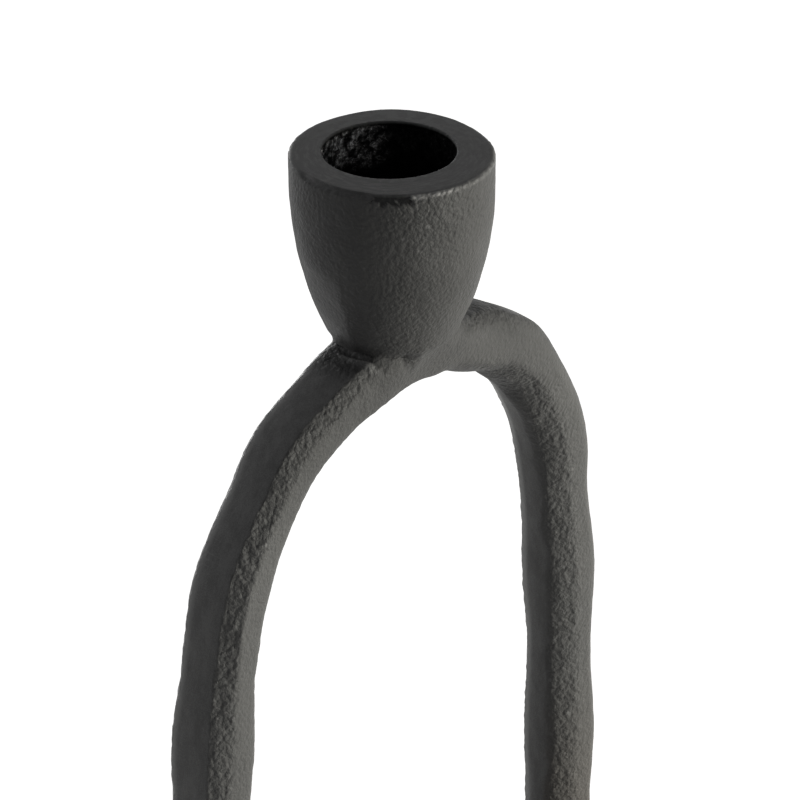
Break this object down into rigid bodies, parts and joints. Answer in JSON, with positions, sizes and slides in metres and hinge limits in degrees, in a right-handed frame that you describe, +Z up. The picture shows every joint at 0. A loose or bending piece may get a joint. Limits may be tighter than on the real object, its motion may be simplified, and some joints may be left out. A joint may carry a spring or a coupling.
{
  "type": "candle holder",
  "caption": "Tall arched candle holder: a thick-walled cup for a dinner candle saddled on the crown of a lumpy cast arch that stands on an oval base plate.",
  "frame": {"origin": "on the table under the middle of the base plate, on the axis of the cup", "axes": "+X along the arch towards the right leg, +Y towards the back, +Z up; the front faces -Y"},
  "size_m": [0.128, 0.084, 0.208],
  "materials": {
    "black_casting": "matte",
    "zinc_steel": "satin",
    "black_felt": "matte"
  },
  "bodies": {
    "root": {"candle_cup": "black_casting", "cup_screw": "zinc_steel", "arch": "black_casting", "base_plate": "black_casting", "left_leg_screw": "zinc_steel", "right_leg_screw": "zinc_steel", "left_leg_washer": "zinc_steel", "right_leg_washer": "zinc_steel", "front_left_pad": "black_felt", "front_right_pad": "black_felt", "rear_left_pad": "black_felt", "rear_right_pad": "black_felt"}
  },
  "joints": []
}
